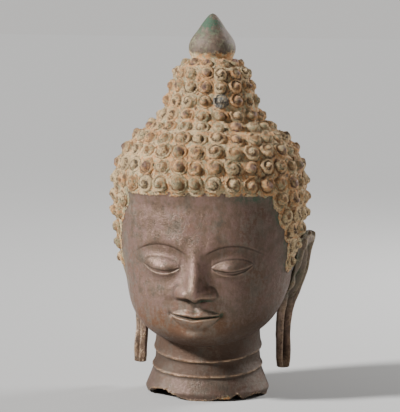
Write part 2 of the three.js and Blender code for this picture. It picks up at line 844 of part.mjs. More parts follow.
const bronze = new THREE.MeshStandardMaterial({ color: 0x5a463c, roughness: 0.55, metalness: 0.7 });
const head = new THREE.Mesh(geometryOf(casting), bronze);
head.name = "buddha_head";

const part = new THREE.Group();
part.add(head);

export default part;
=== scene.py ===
import math

import bmesh
import bpy
import numpy as np
from bpy.props import FloatProperty, FloatVectorProperty, IntProperty, PointerProperty
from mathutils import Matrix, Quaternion, Vector


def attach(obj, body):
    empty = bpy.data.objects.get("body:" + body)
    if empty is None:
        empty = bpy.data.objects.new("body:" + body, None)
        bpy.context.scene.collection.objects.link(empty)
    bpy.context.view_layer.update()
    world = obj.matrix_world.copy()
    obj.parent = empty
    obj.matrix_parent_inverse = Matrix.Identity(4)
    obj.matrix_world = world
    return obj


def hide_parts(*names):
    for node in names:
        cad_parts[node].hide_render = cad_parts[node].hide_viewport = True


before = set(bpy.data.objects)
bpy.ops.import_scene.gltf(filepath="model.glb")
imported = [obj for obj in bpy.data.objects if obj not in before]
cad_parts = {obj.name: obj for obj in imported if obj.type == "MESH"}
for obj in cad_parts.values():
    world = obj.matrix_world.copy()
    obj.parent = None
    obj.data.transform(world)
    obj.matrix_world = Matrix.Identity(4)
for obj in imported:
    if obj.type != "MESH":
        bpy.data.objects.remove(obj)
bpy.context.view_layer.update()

bl_info = {
    "name": "Buddha head",
    "version": (1, 0, 0),
    "blender": (4, 5, 0),
    "location": "3D View > Sidebar > Buddha head",
    "description": "Models a broken-off cast bronze buddha head with snail-shell curls",
    "category": "Object",
}

NODE = "buddha_head"
MM = 0.001

# Fixed numbers of the form, in millimetres, radians or shares.
FLARE_TOP = 26
FLARE_FOOT = 5
RIDGE_RISE = 1.8
RIDGE_FADE_ABOVE = 3.96
RIDGE_FADE_BELOW = 0.5
SECTION_POWER = 2.15
BEFORE_EAR = math.radians(86)
BEHIND_EAR = math.radians(120)
ROW_SHARE = 0.885
RING_SHARE = 0.3
CURL_SPREAD = 1.1
CURL_RISE = 0.93
CURL_TILT = 0.1
BARE_CURL_ANGLE = math.radians(23)
BARE_CURL_Z = 221
BARE_TONE = 1.6

# The stage, in metres, radians and watts.
FLOOR_REACH = 90
FLOOR_COLOUR = (0.46, 0.455, 0.445, 1)
KEY_FROM = (-1.1, -0.66, 0.85)
KEY_STRENGTH = 7.8
KEY_SPREAD = math.radians(9)
LAMPS = {"fill": ((0.8, -0.9, 0.3), 0.8, 0.8), "rim": ((0.85, 0.85, 0.75), 0.5, 17)}
WORLD_COLOUR = (0.9, 0.9, 0.92, 1)
WORLD_STRENGTH = 0.14
BACKGROUND = (0.66, 0.65, 0.633, 1)
MIDDLE = Vector((0, 0, 0.14))
AZIMUTH = math.radians(9)
ELEVATION = math.radians(5)
ROLL = math.radians(0.8)
DISTANCE = 1.5
VIEW_HEIGHT = 0.309
VIEW_ASIDE = 0.0075
SENSOR = 24


# Sizes and colours that a user would change.

def length(name, description, millimetres):
    return FloatProperty(
        name=name, description=description, default=millimetres * MM, unit="LENGTH", precision=4)


def colour(name, description, *screen):
    """A colour given by its 0 to 255 screen values."""
    def linear(value):
        value /= 255
        return value / 12.92 if value <= 0.04045 else ((value + 0.055) / 1.055) ** 2.4
    return FloatVectorProperty(
        name=name, description=description, subtype="COLOR", size=3, min=0, max=1,
        default=tuple(map(linear, screen)))


class HeadSizes(bpy.types.PropertyGroup):
    """Sizes of the casting, which are those of its solid."""
    height: length("Height", "From the break to the tip of the bud", 284)
    half_width: length("Skull half width", "Half the skull's width without its curls", 70.5)
    half_depth: length("Skull half depth", "Half the skull's depth without its curls", 69)
    neck: length("Neck radius", "Half the neck's width", 39)
    neck_flare: length("Neck flare", "How far the neck's foot spreads", 7.5)
    wall: length("Wall", "Thickness of the cast wall", 5)
    neck_wall: length("Neck wall", "Thickness of the cast wall at the neck", 4)
    chin: length("Chin height", "Height of the chin above the break", 40)
    hairline: length("Hairline height", "Height of the hairline above the break", 149)
    nape: length("Nape height", "Height at which the hair ends behind", 56)
    sideburn: length("Sideburn height", "Height of the hair's points before the ears", 95)
    bud_height: length("Bud height", "Height of the bud on the crown", 33)
    bud_radius: length("Bud radius", "Half the bud's width", 17.6)
    break_depth: length("Break depth", "How far the ragged break rises", 6)


class EarSizes(bpy.types.PropertyGroup):
    """Sizes of the ears."""
    top: length("Ear top", "Height of the ear's top above the break", 120)
    tip: length("Lobe tip", "Height of the lobe's tip above the break", 18)
    width: length("Ear width", "Width of the ear across its upper part", 32)
    lobe: length("Lobe width", "Width of the hanging lobe", 13)
    thickness: length("Ear thickness", "Thickness over the ear's rims", 7)


class CurlSizes(bpy.types.PropertyGroup):
    """Sizes of the curls."""
    pitch: length("Curl pitch", "From one curl to the next on the skull", 13.4)
    crown_pitch: length("Crown curl pitch", "From one curl to the next under the bud", 11)
    rise: length("Curl rise", "How far a curl stands out", 6)
    turns: FloatProperty(name="Turns", description="Turns of each curl's groove", default=1.5, min=0.5, max=3)
    seed: IntProperty(name="Seed", description="Picks the unevenness of the curls", default=7)


class HeadColours(bpy.types.PropertyGroup):
    """Colours of the bronze and of what lies on it."""
    bronze: colour("Bronze", "The dark brown patina", 116, 93, 77)
    mauve: colour("Mauve", "Pinkish patches in the patina", 134, 106, 97)
    copper: colour("Copper", "Warm patches over the jaw and neck", 110, 75, 51)
    grey: colour("Grey", "The dull film over the patina", 144, 136, 121)
    worn: colour("Worn metal", "Edges rubbed bright", 190, 162, 132)
    crust: colour("Crust", "Tan earth in the hair", 208, 179, 136)
    pale: colour("Pale earth", "Dry earth on the curls' tops", 240, 218, 178)
    rust: colour("Orange earth", "Orange patches of the earth", 204, 148, 96)
    lichen: colour("Lichen grey", "Grey-green patches of the earth", 142, 140, 110)
    verdigris: colour("Verdigris", "Green traces", 50, 84, 64)
    # Soot is also the colour of painted shade in hollows and grooves, under the chin and ridges, between the
    # curls and on the side away from the light.
    soot_and_shade: colour("Pits", "Dark bottoms of the grooves", 60, 50, 42)
    slate: colour("Slate", "The one curl that has lost its earth", 98, 101, 99)


# Curves and noise.

def outline(points):
    """A smooth curve through pairs of input and output that never overshoots them."""
    xs, ys = np.array(points, dtype=float).T
    slopes = np.diff(ys) / np.diff(xs)
    before, after = slopes[:-1], slopes[1:]
    product = before * after
    middle = np.where(product > 0, 2 * product / np.where(product > 0, before + after, 1), 0)
    tangents = np.concatenate([slopes[:1], middle, slopes[-1:]])

    def at(value):
        value = np.clip(value, xs[0], xs[-1])
        i = np.clip(np.searchsorted(xs[1:], value), 0, len(xs) - 2)
        width = xs[i + 1] - xs[i]
        t = (value - xs[i]) / width
        return ((2 * t**3 - 3 * t**2 + 1) * ys[i] + (t**3 - 2 * t**2 + t) * width * tangents[i]
                + (3 * t**2 - 2 * t**3) * ys[i + 1] + (t**3 - t**2) * width * tangents[i + 1])
    return at


def shares(points, low, high, scale):
    """The pairs of an outline, from shares of the way from low to high and of a size."""
    return [(low + (high - low) * up, out * scale) for up, out in points]


def ramp(value, low, high):
    """0 below low and 1 above high, smoothly."""
    t = np.clip((value - low) / (high - low), 0, 1)
    return t * t * (3 - 2 * t)


def mix(a, b, share):
    return a + (b - a) * share


def bell(value, width):
    return np.exp(-(value / width) ** 2)


def turned_to(angle):
    """The same angle between half a turn back and half a turn on."""
    return np.mod(angle + math.pi, 2 * math.pi) - math.pi


def noise(points, size, seed):
    """Smooth noise from -1 to 1, whose lumps are about size across."""
    at = np.asarray(points) / size + 37.31 * seed
    cell = np.floor(at).astype(np.int64)
    t = at - cell
    t = t * t * (3 - 2 * t)
    total = 0
    for corner in range(8):
        step = np.array([corner & 1, corner >> 1 & 1, corner >> 2 & 1])
        n = (cell + step) @ np.array([73856093, 19349663, 83492791])
        value = np.mod(np.sin(n % 100003 * 12.9898) * 43758.5453, 1) * 2 - 1
        total = total + value * np.prod(np.where(step, t, 1 - t), axis=-1)
    return total


def uneven(n):
    """A fixed unevenness from -1 to 1 for each number."""
    return 2 * (math.sin(n * 12.9898) * 43758.5453 % 1) - 1


# The head's outside, in millimetres. Angles run from the front towards +X.

class HeadForm:
    """The casting's outside by angle and height, with no curls or ears."""

    def __init__(self, scene):
        for name in HeadSizes.__annotations__:
            setattr(self, name, getattr(scene.head_sizes, name) / MM)
        self.ear_top = scene.ear_sizes.top / MM
        self.pitch = scene.curl_sizes.pitch / MM
        self.crown_pitch = scene.curl_sizes.crown_pitch / MM
        self.bud = self.height - self.bud_height
        self.third = (self.hairline - self.chin) / 3
        self.eye_width = 2 * self.half_width * 0.92 / 5
        self.brow_z = self.chin + 2 * self.third
        self.nose_z = self.chin + self.third
        self.mouth_z = self.nose_z - self.third / 3
        self.eye_z = self.brow_z - 0.3 * self.third
        face = (self.chin, self.hairline)
        skull = [(0, 0.73), (0.2, 0.81), (0.4, 0.865), (0.55, 0.9), (0.69, 0.945), (0.8, 0.968), (0.9, 0.99)]
        crown = [(0, 1), (0.11, 0.995), (0.21, 0.965), (0.29, 0.92), (0.37, 0.845), (0.42, 0.775),
                 (0.46, 0.71), (0.5, 0.625), (0.55, 0.545), (0.64, 0.48), (0.73, 0.445), (0.82, 0.405),
                 (0.91, 0.355)]
        bud = [(0, 0.88), (0.06, 0.93), (0.14, 0.985), (0.23, 1), (0.36, 0.95), (0.5, 0.79), (0.64, 0.59),
               (0.78, 0.42), (0.9, 0.25), (0.97, 0.13), (1, 0)]
        self.width_at = outline(shares(skull, *face, self.half_width)
                                + shares(crown, self.hairline, self.bud, self.half_width)
                                + shares(bud, self.bud, self.height, self.bud_radius))
        front = [(0, 0.85), (0.22, 0.9), (0.45, 0.93), (0.67, 0.96), (0.85, 0.965), (1, 0.955)]
        self.front_depth = outline(shares(front, *face, self.half_depth))
        back = [(0, 0.72), (0.2, 0.84), (0.4, 0.94), (0.6, 0.985), (0.8, 1), (1, 1)]
        self.back_depth = outline(shares(back, *face, self.half_depth))
        # Degrees from the front at which the hair starts.
        edge = [(0, 72), (0.43, 66), (0.63, 60), (0.83, 54), (1, 50)]
        self.hair_edge = outline(shares(edge, self.sideburn, self.hairline, math.radians(1)))
        # Height at the front and lift at the back of the neck's two ridges.
        self.ridges = [(0.7 * self.chin, 0.36 * self.chin), (0.43 * self.chin, 0.24 * self.chin)]
        ring = min(z for z in self.curl_rows() if self.in_ring(z, self.pitch))
        self.fringe = ring - 0.55 * self.pitch

    def depth_at(self, z, front):
        crown = self.width_at(z) * self.half_depth / self.half_width
        below = np.where(front, self.front_depth(z), self.back_depth(z))
        rise = ramp(z, self.hairline - 0.22 * self.third, self.hairline + 0.28 * self.third)
        return mix(below, crown, rise)

    def above_ridge(self, ridge, angle, z):
        height, lift = ridge
        return z - height - lift * (1 - np.cos(angle)) / 2

    def neck_radius(self, angle, z):
        down = np.clip((FLARE_TOP - z) / (FLARE_TOP - FLARE_FOOT), 0, 1)
        flare = self.neck_flare * (down**1.2 - 0.2 * (1 - ramp(z, 0, FLARE_FOOT)))
        folds = 0
        for ridge in self.ridges:
            above = self.above_ridge(ridge, angle, z)
            fade = np.where(above > 0, RIDGE_FADE_ABOVE, RIDGE_FADE_BELOW)
            folds = folds + RIDGE_RISE * np.exp(-np.abs(above) / fade)
        return self.neck + flare + folds

    def skull_radius(self, angle, z):
        across = (np.abs(np.sin(angle)) / self.width_at(z)) ** SECTION_POWER
        along = (np.abs(np.cos(angle)) / self.depth_at(z, np.cos(angle) > 0)) ** SECTION_POWER
        return (across + along) ** (-1 / SECTION_POWER)

    def radius(self, angle, z):
        """Distance of the smooth head from its axis."""
        turned = 1 - np.cos(angle)
        jaw = self.chin + 0.25 * self.third * turned * (1.6 + 0.6 * np.cos(angle))
        rounding = mix(0.38, 1, ramp(turned, 0, 1.4)) * self.third
        up = np.clip((z - jaw) / rounding, 0, 1)
        neck = self.neck_radius(angle, z)
        below = mix(neck, self.skull_radius(angle, np.minimum(z, self.bud)), np.sqrt(1 - (1 - up) ** 2))
        return np.where(z >= self.bud, self.width_at(z), below)

    # The face's forms are shares of a third of the face's height and of an eye's width.

    def nose(self, x, z):
        third, eye, side, up = self.third, self.eye_width, np.abs(x), z - self.nose_z
        down = (self.brow_z + 0.12 * third - z) / third
        ridge = outline([(-0.6, 0), (-0.3, 0.02), (-0.05, 0.1), (0.14, 0.22), (0.3, 0.36), (0.6, 0.66),
                         (0.92, 1), (1.12, 0.97)])(down)
        narrow = eye * outline([(-0.5, 1.2), (0, 0.5), (0.16, 0.32), (0.4, 0.23), (0.7, 0.26),
                                (0.95, 0.32)])(down)
        broad = outline([(0, 0.6), (0.3, 0.36), (0.9, 0.56)])(down) * eye
        across = 0.62 * np.exp(-(side / narrow) ** 2.6) + 0.38 * bell(side, broad)
        tip = 0.06 * bell(side, 0.13 * third) * bell(up - 0.17 * third, 0.14 * third)
        wing = np.hypot((side - 0.38 * eye) / (0.12 * third), (up - 0.13 * third) / (0.13 * third))
        crease = 0.05 * bell(wing - 1.45, 0.24) * ramp(side, 0.36 * eye, 0.5 * eye)
        wings = 0.27 * np.exp(-wing**3) - crease
        under = ramp(up + 0.05 * third * bell(side, 0.1 * third), 0, 0.11 * third)
        nostrils = 0.2 * bell(side - 0.19 * eye, 0.075 * third) * bell(up - 0.03 * third, 0.035 * third)
        return 0.33 * third * ((ridge * across + tip + wings) * under - nostrils)

    def brow(self, x, z):
        third, eye, side = self.third, self.eye_width, np.abs(x)
        above = z - self.brow_z - third * (0.16 - 0.3 * ((side - 1.05 * eye) / eye) ** 2)
        ends = ramp(side, 0.2 * eye, 0.42 * eye) * (1 - ramp(side, 1.5 * eye, 1.95 * eye))
        return third * ends * (0.03 * bell(above, np.where(above > 0, 0.2, 0.05) * third)
                               - 0.012 * bell(above + 0.05 * third, 0.02 * third))

    def eye(self, x, z):
        third = self.third
        across = (np.abs(x) - self.eye_width) / (0.56 * self.eye_width)
        almond = np.maximum(0, 1 - across**2)
        up = z - self.eye_z - 0.03 * third * across
        socket = -0.13 * bell(across + 0.2, 1.2) * bell(up - 0.04 * third, 0.32 * third)
        ball = 0.2 * bell(across, 0.82) * bell(up + 0.02 * third, 0.21 * third)
        upper = up + 0.085 * third * almond
        lower = up + 0.165 * third * almond**0.8
        edge = 0.014 * third
        upper_lid = 0.036 * ramp(upper, -edge, edge) * bell(np.maximum(upper, 0), 0.16 * third)
        lower_lid = 0.03 * ramp(-lower, -edge, edge) * bell(np.maximum(-lower, 0), 0.055 * third)
        crease = -0.016 * almond**0.3 * bell(up - 0.15 * third * almond**0.6, 0.02 * third)
        return third * (socket + ball + (upper_lid + lower_lid) * almond**0.4 + crease)

    def mouth(self, x, z):
        third, up = self.third, z - self.mouth_z
        across = x / (0.7 * self.eye_width)
        inside = np.maximum(0, 1 - across**2)
        above = up - third * (0.055 * across**2 - 0.014 * bell(across, 0.22))
        top = third * (0.125 * inside**0.9 - 0.02 * bell(across, 0.14)) + 0.5
        bottom = 0.165 * third * inside**0.8 + 0.5
        upper = ramp(above, top * 1.35, top * 0.45) * ramp(above, -0.2, 1.4)
        lower = ramp(-above, bottom * 1.45, bottom * 0.4) * ramp(-above, -0.2, 1.6)
        lips = 0.075 * inside**0.6 * upper + 0.09 * inside**0.7 * lower
        line = -0.022 * inside**0.3 * bell(above, 0.02 * third)
        around = 0.06 * bell(across, 1.15) * bell(up, 0.32 * third)
        groove = -0.022 * bell(x, 0.075 * self.eye_width) * bell(z - self.nose_z + 0.12 * third, 0.09 * third)
        corners = -0.035 * bell(np.abs(across) - 1.03, 0.1) * bell(above, 0.06 * third)
        hollow = -0.035 * bell(across, 0.6) * bell(up + 0.29 * third, 0.09 * third)
        return third * (lips + line + around + groove + corners + hollow)

    def chin_rise(self, x, z):
        third = self.third
        ball = bell(x, 0.36 * third) * bell(z - self.chin - 0.26 * third, 0.22 * third)
        cheeks = bell(np.abs(x) - 1.25 * self.eye_width, 0.6 * self.eye_width)
        cheeks = cheeks * bell(z - self.nose_z - 0.1 * third, 0.42 * third)
        return third * (0.15 * ball + 0.04 * cheeks)

    def features(self, x, z):
        return sum(part(x, z) for part in (self.nose, self.brow, self.eye, self.mouth, self.chin_rise))

    def skin(self, angle, z):
        """Points of the outside. The features of the face stand out along -Y."""
        radius = self.radius(angle, z)
        x, y = radius * np.sin(angle), -radius * np.cos(angle)
        on_face = ramp(np.cos(angle), 0.25, 0.6) * ramp(z - self.chin, 0, 0.11 * self.third)
        on_face = on_face * (z < self.hairline)
        y = y - on_face * self.features(x, z)
        return np.stack([x, y, z + 0 * x], axis=-1)

    def normal(self, angle, z):
        step = 0.4
        turn = step / np.maximum(self.radius(angle, z), 1)
        along = self.skin(angle + turn, z) - self.skin(angle - turn, z)
        up = self.skin(angle, z + step) - self.skin(angle, z - step)
        out = np.cross(along, up)
        return out / np.linalg.norm(out, axis=-1, keepdims=True)

    def hair_start(self, z):
        return np.where(z < self.sideburn, BEHIND_EAR, self.hair_edge(z))

    def in_hair(self, angle, z):
        """How far a point lies inside the hair's edge, in millimetres, and below zero outside it."""
        turned = np.abs(turned_to(angle))
        beside = (turned - self.hair_start(z)) * self.half_width
        inside = np.minimum(np.maximum(beside, z - self.fringe), 20)
        from_ear = np.abs(turned - (BEFORE_EAR + BEHIND_EAR) / 2) * 3 * self.half_width
        ear = np.minimum(self.ear_top + 2 - z, 40 - from_ear)
        return np.minimum(np.minimum(inside, np.maximum(-ear, -20)), z - self.nape + 4)

    def in_ring(self, z, pitch):
        """Whether a row of curls is high enough to run all round."""
        return z > self.hairline + RING_SHARE * pitch

    def curl_rows(self):
        rows = []
        step = 0.25
        z = self.bud - 0.4 * self.crown_pitch
        walked = 0
        while z > self.nape:
            if not rows or walked >= ROW_SHARE * self.curl_pitch(z):
                rows.append(z)
                walked = 0
            walked += math.hypot(step, float(self.width_at(z) - self.width_at(z - step)))
            z -= step
        return rows

    def curl_pitch(self, z):
        return mix(self.pitch, self.crown_pitch, ramp(z, self.hairline + self.third, self.bud))

    def curl_seats(self):
        """Angle, height and pitch of every curl."""
        seats = []
        for z in self.curl_rows():
            radius = float(self.radius(math.pi / 2, z))
            pitch = float(self.curl_pitch(z))
            ring = self.in_ring(z, pitch)
            start = 0 if ring else float(self.hair_start(z)) + 0.5 * pitch / radius
            arc = 2 * (math.pi - start)
            count = max(5, math.floor(arc * radius / pitch + 0.5))
            for i in range(count if ring else count + 1):
                angle = start + arc * i / count
                turned = min(angle, 2 * math.pi - angle)
                if z < self.ear_top + 2 and BEFORE_EAR < turned < BEHIND_EAR:
                    continue
                n = len(seats)
                seats.append((angle + 0.05 * pitch * uneven(n) / radius, z + 0.06 * pitch * uneven(n + 0.5),
                              pitch * (1 + 0.06 * uneven(n + 0.25))))
        return np.array(seats)


# Meshes.

def put_in(data, place=(0, 0, 0), turn=Quaternion()):
    """A mesh, a light or a camera as an object of the scene."""
    made = bpy.data.objects.new(data.name, data)
    made.location = place
    made.rotation_euler = turn.to_euler()
    bpy.context.scene.collection.objects.link(made)
    return made


def mesh_piece(name, points, faces, material, values=None):
    """A piece from points in millimetres, with a smooth surface and named values on its points."""
    mesh = bpy.data.meshes.new(name)
    mesh.from_pydata((np.asarray(points) * MM).tolist(), [], [list(map(int, face)) for face in faces])
    for key, data in (values or {}).items():
        data = np.asarray(data, dtype=np.float32)
        kind, field = ("FLOAT", "value") if data.ndim == 1 else ("FLOAT_VECTOR", "vector")
        mesh.attributes.new(key, kind, "POINT").data.foreach_set(field, data.ravel())
    mesh.polygons.foreach_set("use_smooth", [True] * len(mesh.polygons))
    if material:
        mesh.materials.append(material)
    return put_in(mesh)


def hand_over(piece):
    """The piece stands for the CAD node and rides with it."""
    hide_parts(NODE)
    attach(piece, "root")


def ring_faces(rows, columns, start=0):
    """Quads between rows of points that each close on themselves."""
    row, column = np.meshgrid(np.arange(rows - 1), np.arange(columns), indexing="ij")
    a = start + row * columns + column
    b = start + row * columns + (column + 1) % columns
    return np.stack([a, b, b + columns, a + columns], axis=-1).reshape(-1, 4).tolist()


def fan_faces(pole, ring, columns, upward):
    """Triangles from a pole to a ring of points."""
    faces = []
    for i in range(columns):
        a, b = ring + i, ring + (i + 1) % columns
        faces.append([pole, a, b] if upward else [pole, b, a])
    return faces


def break_height(form, angle):
    """The ragged height of the break, which touches the ground on four short flats."""
    ragged = outline([
        (-180, 0), (-168, 0), (-150, 0.55), (-128, 0.2), (-112, 0), (-96, 0), (-84, 0.15), (-66, 0.2),
        (-52, 0.9), (-38, 1), (-24, 0.55), (-12, 0.1), (-4, 0), (10, 0), (18, 0.25), (30, 0.2), (37, 0.75),
        (44, 0.15), (58, 0.5), (72, 0.3), (84, 0), (96, 0), (114, 0.5), (132, 0.15), (150, 0.6), (168, 0),
        (180, 0)])
    height = form.break_depth * ragged(np.degrees(turned_to(angle)))
    around = np.stack([40 * np.sin(angle), 40 * np.cos(angle), 0 * angle], axis=-1)
    chips = 0.9 * noise(around, 3.1, 3) + 0.5 * noise(around, 1.3, 4)
    return height + np.abs(chips) * ramp(height, 0.05, 1.2)


def casting_points(form, seats):
    """The casting's skin up from the break, with the nets of its points finest over the face."""
    side = np.concatenate([np.linspace(0, 38, 77), np.linspace(38, 74, 34)[1:], np.linspace(74, 90, 9)[1:]])
    back = np.linspace(90, 270, 61)[1:-1]
    angle = np.radians(np.concatenate([-side[:0:-1], side, back]))
    torn = break_height(form, angle)
    foot = 11
    heights = [torn + (foot - torn) * share for share in np.linspace(0, 1, 11, endpoint=False)]
    # Each zone's foot, and its count of rows.
    zones = [(foot, 38), (form.chin + 2, 13), (form.mouth_z - 8, 122), (form.brow_z + 9, 22),
             (form.hairline + 3, 40), (form.bud, 0)]
    plain = [np.linspace(low, high, count, endpoint=False)
             for (low, count), (high, _) in zip(zones, zones[1:])]
    plain.append(mix(form.bud, form.height, np.sin(np.linspace(0, 1, 24)[:-1] * math.pi / 2)))
    heights += [np.full_like(angle, z) for z in np.concatenate(plain)]
    z = np.array(heights)
    angles = np.broadcast_to(angle, z.shape)
    skin = form.skin(angles, z)
    normal = form.normal(angles, z)
    # The casting is a little uneven all over, and lumpy where the earth clings under the curls.
    lumps = 0.14 * noise(skin, 19, 1) + 0.06 * noise(skin, 6, 2) - 0.05 * np.abs(noise(skin, 2.2, 5))
    hair = form.in_hair(angles, z)
    angle_seat, z_seat, pitch = seats.T
    middles = form.skin(angle_seat, z_seat)
    gap = np.full(z.shape, 2.0)
    for row in np.nonzero(np.max(hair, axis=1) > -12)[0]:
        away = np.linalg.norm(skin[row][:, None] - middles[None], axis=-1) / pitch
        gap[row] = np.min(away, axis=1)
    # Earth fills the gaps between the curls, and at the hair's edge it keeps to their feet.
    reach = mix(0.6, 0.74, ramp(hair, -1, 4)) + 0.07 * noise(skin, 3.2, 7)
    earth = ramp(reach + 0.1 - gap, 0, 0.14) * (z < form.bud)
    lumps = lumps + earth * (0.8 + 0.5 * noise(skin, 3.2, 6))
    lumps = lumps * ramp(z, 0.2, 4) * ramp(form.height - z, 0, 5)
    return angles, skin + normal * lumps[..., None], z, gap, earth


def hollow_points(form, angle, torn):
    """The broken edge, from the skin inwards, and the hollow up to its roof."""
    def inner(z):
        wall = mix(form.neck_wall, form.wall, ramp(z, FLARE_TOP, form.nape))
        around = [form.radius(angle, np.maximum(z + near, 0)) for near in (-wall, 0 * wall, wall)]
        return np.minimum.reduce(around) - wall
    rows = []
    outer = form.radius(angle, torn)
    for share in (0.12, 0.35, 0.6, 0.85):
        radius = mix(outer, inner(torn), share)
        around = np.stack([radius * np.sin(angle), radius * np.cos(angle), 0 * angle], axis=-1)
        grit = 0.25 * noise(around, 1.7, 8) + 0.25
        rows.append((radius, torn + grit * ramp(torn, 0.05, 1)))
    rows.append((inner(torn), torn + 0.2 * ramp(torn, 0.05, 1)))
    roof = form.bud - 2 * form.wall
    for share in np.linspace(0, 1, 24)[1:]:
        z = mix(torn, np.full_like(angle, roof), share)
        rows.append((inner(z), z))
    points = [np.stack([r * np.sin(angle), -r * np.cos(angle), z], axis=-1) for r, z in rows]
    # The inside keeps the rough skin of the clay core.
    rough = [0.25 * noise(p, 6, 9)[:, None] * [1, 1, 0] * ramp(p[:, 2], 4, 12)[:, None] for p in points]
    return [p + lumps for p, lumps in zip(points, rough)], roof


def ear_relief(across, up):
    """How far the ear's outer face stands out, in shares of its thickness.

    Across runs from the front to the back edge.
    """
    upper = ramp(up, 0.44, 0.56)
    rim_back = bell(across - 0.38, 0.085)
    rim_top = bell(up - 0.955, 0.04) * ramp(across, -0.5, -0.3)
    rim_front = bell(across + 0.34 - 0.9 * (up - 0.78), 0.08) * ramp(up, 0.68, 0.78)
    bend = np.maximum(up - 0.74, 0)
    fold = bell(across - 0.13 + 0.5 * bend, 0.075) * ramp(up, 0.46, 0.6) * ramp(-up, -0.94, -0.84)
    bowl = bell(across + 0.14, 0.15) * bell(up - 0.65, 0.1)
    gully = bell(across - 0.26 + 0.3 * bend, 0.06) * ramp(-up, -0.93, -0.86)
    flap = bell(across + 0.4, 0.1) * bell(up - 0.63, 0.05)
    lobe = 0.55 * bell(np.abs(across) - 0.3, 0.14) - 0.5 * bell(across, 0.1) * ramp(up, 0.03, 0.1)
    rims = 0.52 * np.maximum(rim_back, rim_top) + 0.46 * rim_front + 0.46 * fold + 0.5 * flap
    return upper * (rims - 0.6 * bowl - 0.3 * gully) + (1 - upper) * lobe


def ear_points(form, ears, side):
    """One ear as rings of points from the lobe's tip to its top."""
    width, lobe, thick = ears.width / MM, ears.lobe / MM, ears.thickness / MM
    # Up the ear: how far out and back its middle lies in shares of the skull, and its turn in degrees.
    table = np.array([
        (0, 0.783, 0.275, 45), (0.11, 0.783, 0.278, 47), (0.25, 0.772, 0.304, 56), (0.4, 0.786, 0.312, 60),
        (0.58, 0.878, 0.272, 77), (0.72, 0.948, 0.261, 80), (0.87, 0.982, 0.261, 79), (1, 1.03, 0.304, 68)])
    out, back, flare = (outline(table[:, [0, column]]) for column in (1, 2, 3))
    broad = outline([(0, 0.8 * lobe), (0.06, lobe), (0.25, 1.1 * lobe), (0.4, mix(lobe, width, 0.24)),
                     (0.58, mix(lobe, width, 0.74)), (0.72, width), (0.87, 0.97 * width), (0.96, 0.7 * width),
                     (1, 0.42 * width)])
    outer = np.linspace(-0.5, 0.5, 33)
    inner = np.linspace(0.5, -0.5, 13)[1:-1]
    rows = [(0, 0.5, -1.0), (0, 0.8, -0.7), (0, 0.95, -0.3)]
    rows += [(up, 1.0, 0.0) for up in np.linspace(0, 1, 80)] + [(1, 0.9, 0.8), (1, 0.62, 1.6), (1, 0.3, 2.1)]
    points, relief = [], []
    for up, scale, beyond in rows:
        turn = math.radians(float(flare(up)))
        relief.append(np.concatenate([ear_relief(outer, up), 0 * inner]) * scale)
        edge = np.sqrt(np.clip(1 - (2 * outer) ** 6, 0, 1))
        face = edge * (0.02 + 0.9 * ear_relief(outer, up))
        under = -0.5 * np.sqrt(np.clip(1 - (2 * inner) ** 4, 0, 1))
        along = np.concatenate([outer, inner]) * float(broad(up)) * scale * 0.985
        through = np.clip(np.concatenate([face, under]), -0.5, 0.5) * thick * scale
        x = form.half_width * float(out(up)) + along * math.cos(turn) + through * math.sin(turn)
        y = form.half_depth * float(back(up)) + along * math.sin(turn) - through * math.cos(turn)
        z = mix(ears.tip / MM, ears.top / MM, up) + beyond + 0 * x
        points.append(np.stack([side * x, y, z], axis=-1))
    points = np.array(points)
    return points + 0.14 * noise(points, 4, 11)[..., None] * [1, 1, 0], np.array(relief)


def curl_shell(turns, material):
    """One curl: a low shell one across, whose ridge winds in to the middle."""
    sides = 9
    # Rings follow the spiral, four to a turn: groove, flank, ridge, flank.
    last = 4 * turns
    points, ridge, middle, faces = [], [], [], []

    def add(i, away, height, on_ridge, inwards):
        angle = 2 * math.pi * i / sides
        points.append((away * math.cos(angle), away * math.sin(angle), height))
        ridge.append(on_ridge)
        middle.append(inwards)

    rings = range(-4, math.ceil(last) + 1)
    for ring in rings:
        for i in range(sides + 1):
            along = min(max(ring + 4 * i / sides, 0), last)
            reach = 1 - along / last
            wave = (1 - math.cos(math.pi * (ring % 4) / 2)) / 2
            depth = 0.44 * min(1, along / 1.5, ((last - along) / 2.3) ** 2)
            out = reach**0.75
            dome = (0.56 + 0.44 * math.exp(-(out / 0.5) ** 3)) * (1 - out**8)
            add(i, 0.5 * out, dome - depth * (1 - wave), wave if along > 0 else 0.3, 1 - out)
    across = sides + 1
    for ring in range(len(rings) - 1):
        for a in range(ring * across, ring * across + sides):
            faces.append((a, a + 1, a + 1 + across, a + across))
    # A skirt goes down into the skin.
    skirt = len(points)
    for i in range(sides):
        add(i, 0.5, 0, 0, 0)
        add(i, 0.42, -0.6, 0, 0)
        a, b = skirt + 2 * i, skirt + 2 * ((i + 1) % sides)
        faces.append((a, a + 1, b + 1, b))
    faces.append([skirt + 2 * i + 1 for i in reversed(range(sides))])
    values = {"ridge": ridge, "middle": middle}
    shell = mesh_piece("curl shell", np.array(points) / MM, faces, material, values)
    work = bmesh.new()
    work.from_mesh(shell.data)
    closest = 2e-3
    bmesh.ops.remove_doubles(work, verts=work.verts, dist=closest)
    bmesh.ops.dissolve_degenerate(work, edges=work.edges, dist=closest)
    bmesh.ops.recalc_face_normals(work, faces=work.faces)
    work.to_mesh(shell.data)
    work.free()
    return shell


# Node trees.

def plug(tree, socket, value):
    """Links the socket to another one, or sets it to a plain value."""
    value = getattr(value, "socket", value)
    if isinstance(value, bpy.types.NodeSocket):
        tree.links.new(value, socket)
    else:
        socket.default_value = value


def add_node(tree, kind, settings, sockets):
    made = tree.nodes.new(kind)
    for key, value in settings.items():
        setattr(made, key, value)
    for key, value in sockets.items():
        plug(tree, made.inputs[key], value)
    return made


